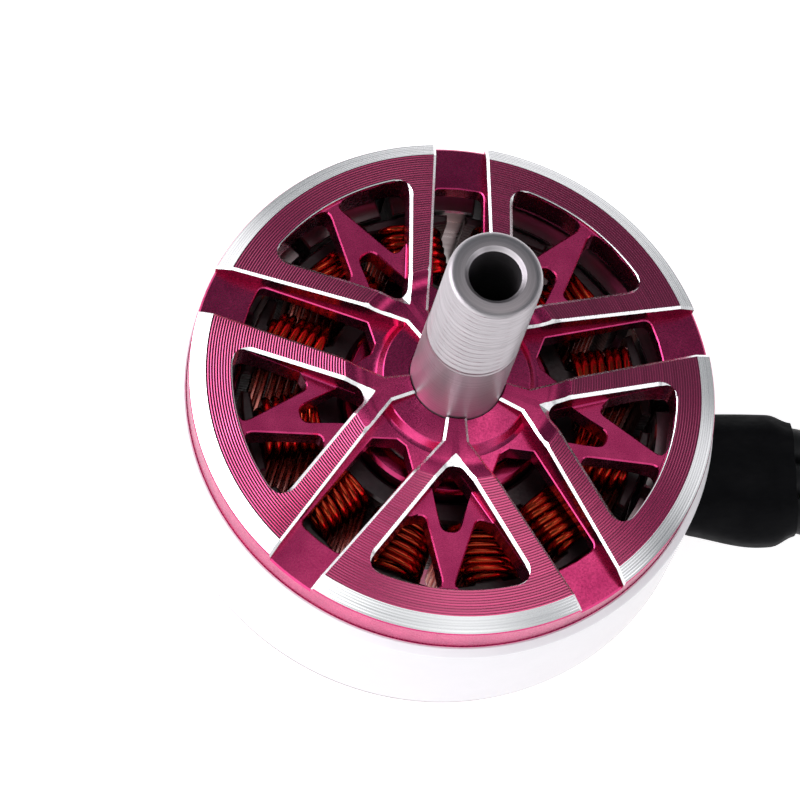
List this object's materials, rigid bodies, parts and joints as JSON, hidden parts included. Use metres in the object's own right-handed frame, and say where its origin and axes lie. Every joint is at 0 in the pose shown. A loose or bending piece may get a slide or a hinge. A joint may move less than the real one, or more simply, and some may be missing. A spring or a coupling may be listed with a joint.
{
  "type": "brushless outrunner motor",
  "caption": "Small brushless outrunner motor: spoked pink bell with a white flux ring, hollow threaded prop shaft, wound stator, bearings, mounting base and phase leads.",
  "frame": {"origin": "centre of the mounting face, on the shaft's axis, z = 0 on the surface the motor is screwed to", "axes": "+Z along the shaft away from the mounting face, +X where the phase leads leave the base"},
  "size_m": [0.0728, 0.0302, 0.0298],
  "materials": {
    "bell_anodised": "machined and dyed pink anodised, bright cut edges",
    "flux_ring_coat": "satin white coat on the steel ring",
    "magnet_plating": "nickel plated",
    "shaft_metal": "satin turned steel",
    "bearing_steel": "ground",
    "bearing_cage": "pressed",
    "stator_coat": "dark green-black epoxy coat on laminations",
    "coil_enamel": "red-orange enamelled copper wire",
    "base_anodised": "pink anodised, turned",
    "lead_silicone": "soft matt silicone",
    "sleeve_shrink": "matt heat-shrink",
    "lead_tin": "tinned copper strands"
  },
  "bodies": {
    "stator": {"mount_base": "base_anodised", "stator_core": "stator_coat", "coil_01": "coil_enamel", "coil_02": "coil_enamel", "coil_03": "coil_enamel", "coil_04": "coil_enamel", "coil_05": "coil_enamel", "coil_06": "coil_enamel", "coil_07": "coil_enamel", "coil_08": "coil_enamel", "coil_09": "coil_enamel", "coil_10": "coil_enamel", "coil_11": "coil_enamel", "coil_12": "coil_enamel", "bearing_lower_outer_race": "bearing_steel", "bearing_upper_outer_race": "bearing_steel", "wire_a": "lead_silicone", "wire_b": "lead_silicone", "wire_c": "lead_silicone", "wire_sleeve": "sleeve_shrink", "wire_coil": "lead_silicone", "wire_tip_a": "lead_tin", "wire_tip_b": "lead_tin", "wire_tip_c": "lead_tin"},
    "rotor": {"bell_cap": "bell_anodised", "flux_ring": "flux_ring_coat", "magnet_01": "magnet_plating", "magnet_02": "magnet_plating", "magnet_03": "magnet_plating", "magnet_04": "magnet_plating", "magnet_05": "magnet_plating", "magnet_06": "magnet_plating", "magnet_07": "magnet_plating", "magnet_08": "magnet_plating", "magnet_09": "magnet_plating", "magnet_10": "magnet_plating", "magnet_11": "magnet_plating", "magnet_12": "magnet_plating", "magnet_13": "magnet_plating", "magnet_14": "magnet_plating", "shaft": "shaft_metal", "shim_washer": "bearing_steel", "retaining_screw": "bearing_steel", "retaining_washer": "bearing_steel", "bearing_lower_inner_race": "bearing_steel", "bearing_upper_inner_race": "bearing_steel"},
    "lower_balls": {"bearing_lower_ball_cage": "bearing_cage"},
    "upper_balls": {"bearing_upper_ball_cage": "bearing_cage"}
  },
  "joints": [
    {"name": "bell_spin", "type": "hinge", "parent": "stator", "child": "rotor", "pos_m": [0, 0, 0.0095], "axis": [0, 0, 1], "continuous": true},
    {"name": "lower_balls_roll", "type": "hinge", "parent": "stator", "child": "lower_balls", "pos_m": [0, 0, 0.004], "axis": [0, 0, 1], "continuous": true},
    {"name": "upper_balls_roll", "type": "hinge", "parent": "stator", "child": "upper_balls", "pos_m": [0, 0, 0.012], "axis": [0, 0, 1], "continuous": true}
  ],
  "couplings": [
    {"joint": "lower_balls_roll", "follows": "bell_spin", "ratio": 0.4},
    {"joint": "upper_balls_roll", "follows": "bell_spin", "ratio": 0.4}
  ]
}
